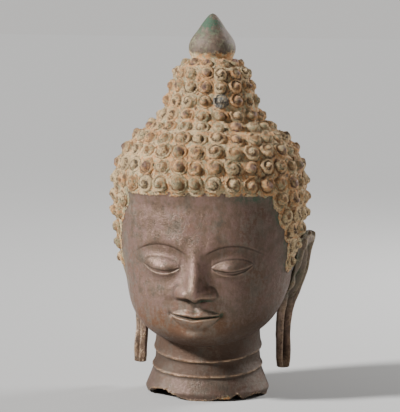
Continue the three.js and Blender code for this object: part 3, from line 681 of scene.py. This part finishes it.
def curl_tree():
    """Sets the shell on every seat, squared to the skin, with a turn and a tilt of its own."""
    tree = bpy.data.node_groups.new("curls on seats", "GeometryNodeTree")
    for name, kind in (("Geometry", "Geometry"), ("Curl", "Object"), ("Tilt", "Float"), ("Seed", "Int"),
                       ("Material", "Material")):
        tree.interface.new_socket(name, in_out="INPUT", socket_type="NodeSocket" + kind)
    tree.interface.new_socket("Geometry", in_out="OUTPUT", socket_type="NodeSocketGeometry")
    given = tree.nodes.new("NodeGroupInput").outputs

    def node(kind, settings, sockets, output=0):
        return add_node(tree, kind, settings, sockets).outputs[output]

    def stored(name):
        return node("GeometryNodeInputNamedAttribute", {"data_type": "FLOAT_VECTOR"}, {"Name": name})

    shape = node("GeometryNodeObjectInfo", {"transform_space": "ORIGINAL"}, {
        "Object": given["Curl"], "As Instance": True}, "Geometry")
    square = node("FunctionNodeAlignRotationToVector", {"axis": "Z"}, {"Vector": stored("out")})
    place = node("GeometryNodeInstanceOnPoints", {}, {
        "Points": given["Geometry"], "Instance": shape, "Rotation": square, "Scale": stored("size")})
    least = node("ShaderNodeCombineXYZ", {}, {"Z": -math.pi})
    most = node("ShaderNodeCombineXYZ", {}, {"X": given["Tilt"], "Y": given["Tilt"], "Z": math.pi})
    turn = node("FunctionNodeRandomValue", {"data_type": "FLOAT_VECTOR"}, {
        0: least, 1: most, "Seed": given["Seed"]})
    spin = node("GeometryNodeRotateInstances", {}, {"Instances": place, "Rotation": turn})
    real = node("GeometryNodeRealizeInstances", {}, {0: spin})
    painted = node("GeometryNodeSetMaterial", {}, {"Geometry": real, "Material": given["Material"]})
    add_node(tree, "NodeGroupOutput", {}, {0: painted})
    return tree


def grown(piece, tree, inputs):
    """The plain mesh that the tree makes of the piece. Inputs are set by their identifiers."""
    modifier = piece.modifiers.new(tree.name, "NODES")
    modifier.node_group = tree
    for item in tree.interface.items_tree:
        if item.in_out == "INPUT" and item.name in inputs:
            modifier[item.identifier] = inputs[item.name]
    bpy.context.view_layer.update()
    evaluated = piece.evaluated_get(bpy.context.evaluated_depsgraph_get())
    mesh = bpy.data.meshes.new_from_object(evaluated)
    piece.modifiers.remove(modifier)
    piece.data = mesh
    return piece


# Materials.

class Wire:
    """A shader socket that Python's operators work on."""

    def __init__(self, shade, socket):
        self.shade, self.socket = shade, socket

    def math(self, operation, *values):
        return self.shade.node("ShaderNodeMath", {"operation": operation}, dict(enumerate(values)))

    def __add__(self, other):
        return self.math("ADD", self, other)

    def __sub__(self, other):
        return self.math("SUBTRACT", self, other)

    def __rsub__(self, other):
        return self.math("SUBTRACT", other, self)

    def __mul__(self, other):
        return self.math("MULTIPLY", self, other)

    def clamp(self):
        return self.shade.node("ShaderNodeClamp", {}, {"Value": self})

    def step(self, low, high):
        """0 below low and 1 above high, smoothly."""
        return self.shade.node("ShaderNodeMapRange", {"interpolation_type": "SMOOTHSTEP"}, {
            "Value": self, "From Min": low, "From Max": high})

    __radd__ = __add__
    __rmul__ = __mul__


class Shade:
    """A material under construction."""

    def __init__(self, name):
        self.material = bpy.data.materials.new(name)
        self.material.use_nodes = True
        self.tree = self.material.node_tree
        self.surface = self.tree.nodes["Principled BSDF"]
        self.place = self.node("ShaderNodeTexCoord", {}, {}, "Object")

    def node(self, kind, settings, sockets, output=0):
        return Wire(self, add_node(self.tree, kind, settings, sockets).outputs[output])

    def noise(self, size, detail, roughness, offset=0.0):
        """Noise from 0 to 1 with lumps about size across, in metres."""
        at = self.node("ShaderNodeVectorMath", {"operation": "ADD"}, {0: self.place, 1: (offset,) * 3})
        return self.node("ShaderNodeTexNoise", {}, {
            "Vector": at, "Scale": 1 / size, "Detail": detail, "Roughness": roughness})

    def value(self, name):
        """A value stored on the mesh's points."""
        return self.node("ShaderNodeAttribute", {"attribute_name": name}, {}, "Fac")

    def blend(self, share, low, high):
        """One colour turning into another."""
        low, high = (value if isinstance(value, Wire) else (*value, 1) for value in (low, high))
        return self.node("ShaderNodeMix", {"data_type": "RGBA"}, {0: share, 6: low, 7: high}, 2)

    def layers(self, base, *over):
        """Colours laid over a base one after another, each by its share."""
        for share, paint in over:
            base = self.blend(share, base, paint)
        return base

    def bump(self, distance, height):
        return self.node("ShaderNodeBump", {}, {
            "Strength": 1.0, "Distance": distance, "Height": height}, "Normal")

    def finish(self, **inputs):
        for key, value in inputs.items():
            plug(self.tree, self.surface.inputs[key.replace("_", " ")], value)
        return self.material


def bronze_material(colours):
    """Patinated cast bronze, with earth, verdigris, rubbed edges and painted shade where the mesh says."""
    shade = Shade("patinated bronze")
    broad = shade.noise(0.04, 4, 0.65)
    patches = shade.noise(0.0085, 6, 0.72, 0.31)
    specks = shade.noise(0.0024, 5, 0.75, 0.77)
    fine = shade.noise(0.0009, 3, 0.7, 0.13)
    drawn = shade.node("ShaderNodeVectorMath", {"operation": "MULTIPLY"}, {0: shade.place, 1: (240, 240, 90)})
    streaks = shade.node("ShaderNodeTexNoise", {}, {
        "Vector": drawn, "Scale": 1.0, "Detail": 4.0, "Roughness": 0.7})
    grains = shade.noise(0.0034, 4, 0.8, 0.57)
    mottle = patches * 0.55 + specks * 0.45
    warm = (shade.value("warm") + 0.26 + (broad - 0.5) * 2.0).clamp()
    dull = shade.value("dull")
    film = shade.blend((specks * 0.6 + patches * 0.4).step(0.43, 0.65), colours.soot_and_shade, colours.lichen)
    cavity = (shade.value("cavity") * 1.1 + (specks - 0.5) * 0.5).clamp()
    green = (shade.value("green") * 2.2 * mottle.step(0.44, 0.58)).clamp()
    worn = (shade.value("worn") * mottle.step(0.42, 0.56)).clamp()
    earth = (shade.value("crust") * 1.3 + (specks - 0.5) * 1.3 + (patches - 0.5) * 1.0 - 0.1).step(0.3, 0.6)
    # Dark specks in the earth, with painted shade deepest in the gaps between the curls.
    between = shade.value("gap") * 0.5 + (specks - 0.5) * 2.4 + (grains - 0.5) * 2.4
    soil = shade.layers(
        colours.crust,
        ((patches * 0.5 + grains * 0.5).step(0.48, 0.53), colours.rust),
        ((0.5 - (grains - 0.5) + (broad - 0.5) * 0.6).step(0.52, 0.57) * 0.8, colours.lichen),
        (specks.step(0.54, 0.6) * 0.6, colours.pale),
        (between.step(0.4, 0.75) * 0.85, colours.soot_and_shade))
    base = shade.layers(
        colours.bronze,
        ((patches * 0.6 + streaks * 0.4).step(0.44, 0.58) * 0.8, colours.mauve),
        ((warm + (mottle - 0.5) * 3.4).step(0.25, 1.0) * 0.95, colours.copper),
        ((broad * 0.4 - mottle * 0.6 + streaks * 0.2 + 0.5).step(0.47, 0.6) * 0.5, colours.grey),
        ((specks * 0.7 + patches * 0.3).step(0.56, 0.68) * 0.5, colours.worn),
        (mottle.step(0.5, 0.37) * 0.55, colours.soot_and_shade),
        (dull * patches.step(0.34, 0.56) * 0.85, film),
        # Painted shade from the mesh, darkened towards soot.
        (cavity * 0.78, colours.soot_and_shade),
        (green * 0.9, colours.verdigris),
        (worn * 0.85, colours.worn),
        (earth, soil))
    rough = 0.44 + (specks - 0.5) * 0.5 + (patches - 0.5) * 0.3 + green * 0.2 + cavity * 0.2 - worn * 0.15
    relief = patches * 0.6 + specks * 0.6 + fine * 0.35 + streaks * 0.2
    relief = relief + earth * (0.5 + fine * 1.4 + specks * 2.4)
    return shade.finish(
        Base_Color=base, Metallic=(1 - earth) * (0.55 - green * 0.4) * (1 - dull * 0.6),
        Roughness=mix(rough + dull * 0.2, 0.92, earth), Normal=shade.bump(0.0006, relief),
        Specular_IOR_Level=0.5)


def curl_material(colours):
    """Curls under tan and orange earth, with dirt and painted shade dark in the grooves, and a few rubbed to
    the bronze.
    """
    shade = Shade("earth-covered curls")
    ridge = shade.value("ridge")
    middle = shade.value("middle")
    tone = shade.value("tone")
    broad = shade.noise(0.024, 4, 0.65, 0.5)
    patches = shade.noise(0.0042, 5, 0.76, 0.2)
    specks = shade.noise(0.0017, 4, 0.8, 0.9)
    fine = shade.noise(0.0007, 3, 0.7, 0.4)
    mottle = patches * 0.5 + specks * 0.5
    # Dirt and painted shade darken the grooves and the curls' feet.
    pit = ((1 - ridge) * 1.05 + (patches - 0.5) * 2.8 + (specks - 0.5) * 3.0).step(0.5, 0.95)
    rubbed = (middle * 0.8 + (tone - 0.72) * 1.5 + (mottle - 0.5) * 2.2).step(0.72, 1.0)
    bare = ((tone - 1.2) * 4 + (mottle - 0.5) * 6).step(0.2, 0.8)
    slate = shade.blend((specks * 0.6 + fine * 0.4).step(0.48, 0.58), colours.slate, colours.pale)
    base = shade.layers(
        colours.crust,
        ((broad * 0.4 + mottle * 0.6 + (tone - 0.5) * 0.1).step(0.46, 0.54), colours.rust),
        ((specks * 0.75 + patches * 0.25).step(0.53, 0.6) * 0.9, colours.pale),
        ((broad * 0.6 - mottle + 0.7).step(0.5, 0.57) * 0.8, colours.lichen),
        ((mottle * 0.6 + fine * 0.4).step(0.48, 0.41) * 0.9, colours.soot_and_shade),
        (pit * 0.9, shade.blend(broad.step(0.42, 0.58) * 0.4, colours.soot_and_shade, colours.rust)),
        (rubbed * 0.85, shade.blend(mottle.step(0.42, 0.58), colours.soot_and_shade, colours.mauve)),
        (bare * 0.9, shade.blend(pit * 0.6, slate, colours.soot_and_shade)))
    return shade.finish(
        Base_Color=base, Metallic=rubbed * 0.35, Roughness=mix(0.92, 0.55, rubbed),
        Normal=shade.bump(0.002, specks * 0.8 + fine * 0.4 + patches * 0.8), Specular_IOR_Level=0.3)


# Operators.

class BUDDHA_OT_casting(bpy.types.Operator):
    """Models the casting: face, scalp, bud, ears, neck, break and hollow"""
    bl_idname = "buddha.casting"
    bl_label = "Casting"

    def execute(self, context):
        scene = context.scene
        form = HeadForm(scene)
        angles, skin, z, gap, earth = casting_points(form, form.curl_seats())
        inside, roof = hollow_points(form, angles[0], z[0])
        rows, columns = z.shape
        start = z.size
        faces = ring_faces(rows, columns)
        # The hollow's rings run up from the break, so their faces are turned round.
        faces += [face[::-1] for face in ring_faces(len(inside), columns, start)]
        for i in range(columns):
            j = (i + 1) % columns
            faces.append([j, i, start + i, start + j])
        poles = start + len(inside) * columns
        faces += fan_faces(poles, start - columns, columns, True)
        faces += fan_faces(poles + 1, poles - columns, columns, False)
        tip, top = [0, 0, form.height], [0, 0, roof + form.wall]
        points = np.concatenate([skin.reshape(-1, 3), *inside, [tip, top]])
        values = self.values(form, angles, skin, z, gap, earth, poles - start)
        for side in (1, -1):
            ear, relief = ear_points(form, scene.ear_sizes, side)
            count, around = relief.shape
            start = len(points)
            lower, upper = start + relief.size, start + relief.size + 1
            made = ring_faces(count, around, start)
            made += fan_faces(lower, start, around, False) + fan_faces(upper, lower - around, around, True)
            # A mirrored ear's faces are turned round, so that they too face outwards.
            faces += made if side > 0 else [face[::-1] for face in made]
            ends = [ear[0].mean(axis=0) - [0, 0, 0.3], ear[-1].mean(axis=0) + [0, 0, 0.2]]
            ear = np.concatenate([ear.reshape(-1, 3), ends])
            points = np.concatenate([points, ear])
            for key, extra in self.ear_values(ear, np.append(relief, [0, 0])).items():
                values[key] = np.append(values[key], extra)
        piece = mesh_piece("casting", points, faces, bronze_material(scene.head_colours), values)
        hand_over(piece)
        return {"FINISHED"}

    def values(self, form, angles, skin, z, gap, earth, inner):
        """Where the skin is warm, green, worn, dull, covered in earth, between the curls and in painted
        shade.
        """
        x = skin[..., 0]
        hair = form.in_hair(angles, z)
        on_face = (np.cos(angles) > 0.3) & (z > form.chin) & (z < form.hairline)
        above_break = z - z[0]
        step = 0.9
        near = [form.features(x + dx, z + dz) for dx, dz in ((step, 0), (-step, 0), (0, step), (0, -step))]
        curve = form.features(x, z) - sum(near) / 4
        # Painted shade darkens the face's creases; wear lightens its high points.
        cavity = np.clip(-curve * 3, 0, 1) * on_face
        worn = np.clip(curve * 1.5 - 0.15, 0, 0.36) * on_face
        # Painted shade: the side away from the light is darker, most of all over the jaw and neck.
        cavity += 0.6 * ramp(x, 8, 45) * ramp(z, 14, 24) * (z < form.fringe)
        cavity += 0.3 * ramp(x, 12, 40) * ramp(z, 78, 52) * ramp(z, 14, 24)
        upper, lower = (form.above_ridge(ridge, angles, z) for ridge in form.ridges)
        # Each neck ridge is rubbed bright along its edge and has a painted shadow just below it.
        for above in (upper, lower):
            worn += bell(above - 0.1, 0.5)
            cavity += 0.7 * bell(above + 1.3, 1.0)
        worn += 0.9 * bell(above_break, 0.8)
        # Painted shade over the band between the ridges, below the lower ridge and under the chin.
        cavity += ramp(lower, 0, 2) * ramp(-upper, 0, 2) + 0.6 * ramp(-lower, 0, 2)
        cavity += 0.8 * ramp(form.chin - z, -22, -4) * ramp(upper, 0, 2)
        warm = 1.1 * ramp(z, 75, 45) * ramp(lower, -2, 1)
        warm += 0.25 * ramp(np.abs(x), 30, 55) * (z < 100)
        near_hair = (z < form.fringe + 6) & (z > form.sideburn - 8)
        edge = bell(hair, 3.2) * near_hair * mix(0.5, 0.25, ramp(x, -20, 30))
        # Earth lies on the scalp, at the hair's edge and the bud's foot, and on the break.
        crust = np.maximum.reduce([
            earth,
            edge * ramp(noise(skin, 9, 12), -0.3, 0.4),
            (0.75 + 0.35 * noise(skin, 4, 13)) * bell(z - form.bud, 6),
            0.7 * bell(angles - 0.45, 0.12) * bell(z - 1, 5),
            0.35 * bell(above_break, 2.5)])
        green = 0.4 * bell(hair + 3, 3.5) * near_hair * ramp(x, 5, 45)
        green += 0.7 * cavity * on_face * bell(x - 12, 16) * bell(z - form.mouth_z - 6, 10)
        green += 1.7 * bell(z - form.height + 3, 9) * bell(np.abs(angles + 0.3) - 0.2, 0.9)
        # Each value over the skin, and the one value that the hollow and the two poles have.
        # The hollow inside gets half the painted shade.
        made = {"warm": (warm, 0.2), "cavity": (cavity, 0.5), "green": (green, 0.1), "worn": (worn, 0.0),
                "dull": (1.0 * (z > form.bud), 0.0), "crust": (crust, 0.35),
                "gap": (ramp(gap, 0.38, 0.62) * earth, 0.0)}
        return {key: np.append(data, np.full(inner + 2, inside)) for key, (data, inside) in made.items()}

    def ear_values(self, points, relief):
        z = points[:, 2]
        up = ramp(z, 50, 90)
        return {
            "warm": 0.3 * (1 - up),
            # Painted shade in the ear's grooves, lighter on its flat parts and none on its rims.
            "cavity": np.clip(0.34 - 1.8 * relief, 0, 1),
            "green": 0.2 * up + 0.04,
            "worn": np.clip(1.3 * relief - 0.1, 0, 0.6) + 0.25 * bell(z - 20, 3),
            "dull": 0.15 + 0.55 * up,
            "crust": 0.24 + 0 * z,
            "gap": 0 * z,
        }


class BUDDHA_OT_curls(bpy.types.Operator):
    """Sets a snail-shell curl on every seat of the scalp"""
    bl_idname = "buddha.curls"
    bl_label = "Curls"

    def execute(self, context):
        scene = context.scene
        sizes = scene.curl_sizes
        form = HeadForm(scene)
        angle, z, pitch = form.curl_seats().T
        material = curl_material(scene.head_colours)
        seats = form.skin(angle, z)
        count = np.arange(len(z))
        tone = np.array([0.5 + 0.5 * uneven(n + 0.75) for n in count])
        # One curl in front has lost its earth.
        tone[np.argmin(np.hypot(angle - BARE_CURL_ANGLE, (z - BARE_CURL_Z) / 40))] = BARE_TONE
        flatter = np.array([1 - 0.16 * (0.5 + 0.5 * uneven(n + 0.125)) for n in count])
        rise = CURL_RISE * sizes.rise / MM * pitch / form.pitch * flatter
        across = CURL_SPREAD * pitch
        size = np.stack([across, across, rise], axis=-1) * MM
        piece = mesh_piece("curls", seats, [], None, {
            "tone": tone, "out": form.normal(angle, z), "size": size})
        shell = curl_shell(sizes.turns, material)
        grown(piece, curl_tree(), {
            "Curl": shell, "Tilt": CURL_TILT, "Seed": sizes.seed, "Material": material})
        bpy.data.objects.remove(shell)
        self.weather(piece.data)
        hand_over(piece)
        return {"FINISHED"}

    def weather(self, mesh):
        """Moves the points in and out, so that no two curls are alike."""
        points, normals = np.empty((2, 3 * len(mesh.vertices)), np.float32)
        mesh.vertices.foreach_get("co", points)
        mesh.vertices.foreach_get("normal", normals)
        points = points.reshape(-1, 3) / MM
        lumps = 0.3 * noise(points, 5.0, 21) + 0.36 * noise(points, 1.7, 22) - 0.12
        points = points + normals.reshape(-1, 3) * lumps[:, None]
        mesh.vertices.foreach_set("co", (points * MM).astype(np.float32).ravel())
        mesh.update()


class BUDDHA_OT_stage(bpy.types.Operator):
    """Sets the pale floor, the soft lights and the camera"""
    bl_idname = "buddha.stage"
    bl_label = "Stage"

    def execute(self, context):
        scene = context.scene
        far = FLOOR_REACH / MM
        pale = Shade("pale floor").finish(Base_Color=FLOOR_COLOUR, Roughness=0.9)
        floor = mesh_piece("floor", [(-far, -far, 0), (far, -far, 0), (far, far, 0), (-far, far, 0)],
                           [(0, 1, 2, 3)], pale)
        key = bpy.data.lights.new("key", "SUN")
        key.energy = KEY_STRENGTH
        key.angle = KEY_SPREAD
        put_in(key, turn=Vector(KEY_FROM).to_track_quat("Z", "Y"))
        for name, (place, size, power) in LAMPS.items():
            lamp = bpy.data.lights.new(name, "AREA")
            lamp.shape = "DISK"
            lamp.size = size
            lamp.energy = power
            put_in(lamp, place, (Vector(place) - MIDDLE).to_track_quat("Z", "Y"))
        self.world(scene)
        right = Vector((math.cos(AZIMUTH), math.sin(AZIMUTH), 0))
        towards = Vector((math.sin(AZIMUTH) * math.cos(ELEVATION), -math.cos(AZIMUTH) * math.cos(ELEVATION),
                          math.sin(ELEVATION)))
        camera = bpy.data.cameras.new("camera")
        camera.sensor_fit = "VERTICAL"
        camera.sensor_height = SENSOR
        camera.lens = SENSOR * DISTANCE / VIEW_HEIGHT
        turn = towards.to_track_quat("Z", "Y") @ Quaternion((0, 0, 1), ROLL)
        scene.camera = put_in(camera, MIDDLE - VIEW_ASIDE * right + DISTANCE * towards, turn)
        return {"FINISHED"}

    def world(self, scene):
        """Soft light all round. Seen directly it is as bright as the far floor seen from in front."""
        world = bpy.data.worlds.new("studio")
        world.use_nodes = True
        tree = world.node_tree
        soft = tree.nodes["Background"]
        plug(tree, soft.inputs["Color"], WORLD_COLOUR)
        plug(tree, soft.inputs["Strength"], WORLD_STRENGTH)
        seen = add_node(tree, "ShaderNodeBackground", {}, {"Color": BACKGROUND})
        ray = add_node(tree, "ShaderNodeLightPath", {}, {})
        either = add_node(tree, "ShaderNodeMixShader", {}, {
            0: ray.outputs["Is Camera Ray"], 1: soft.outputs[0], 2: seen.outputs[0]})
        plug(tree, tree.nodes["World Output"].inputs["Surface"], either.outputs[0])
        scene.world = world


class BUDDHA_PT_panel(bpy.types.Panel):
    """Lists the sizes, the colours and the pieces"""
    bl_idname = "BUDDHA_PT_panel"
    bl_label = "Buddha head"
    bl_space_type = "VIEW_3D"
    bl_region_type = "UI"
    bl_category = "Buddha head"

    def draw(self, context):
        scene = context.scene
        for group in (scene.head_sizes, scene.ear_sizes, scene.curl_sizes, scene.head_colours):
            box = self.layout.box()
            for name in group.__annotations__:
                box.prop(group, name)
        for operator in OPERATORS:
            self.layout.operator(operator.bl_idname)


GROUPS = {
    "head_sizes": HeadSizes, "ear_sizes": EarSizes, "curl_sizes": CurlSizes, "head_colours": HeadColours}
OPERATORS = (BUDDHA_OT_casting, BUDDHA_OT_curls, BUDDHA_OT_stage)


def register():
    for group in (*GROUPS.values(), *OPERATORS, BUDDHA_PT_panel):
        bpy.utils.register_class(group)
    for name, group in GROUPS.items():
        setattr(bpy.types.Scene, name, PointerProperty(type=group))


def unregister():
    for name in GROUPS:
        delattr(bpy.types.Scene, name)
    for group in reversed((*GROUPS.values(), *OPERATORS, BUDDHA_PT_panel)):
        bpy.utils.unregister_class(group)


def main():
    register()
    for operator in OPERATORS:
        getattr(bpy.ops.buddha, operator.bl_idname.split(".")[1])()


if __name__ == "__main__":
    main()
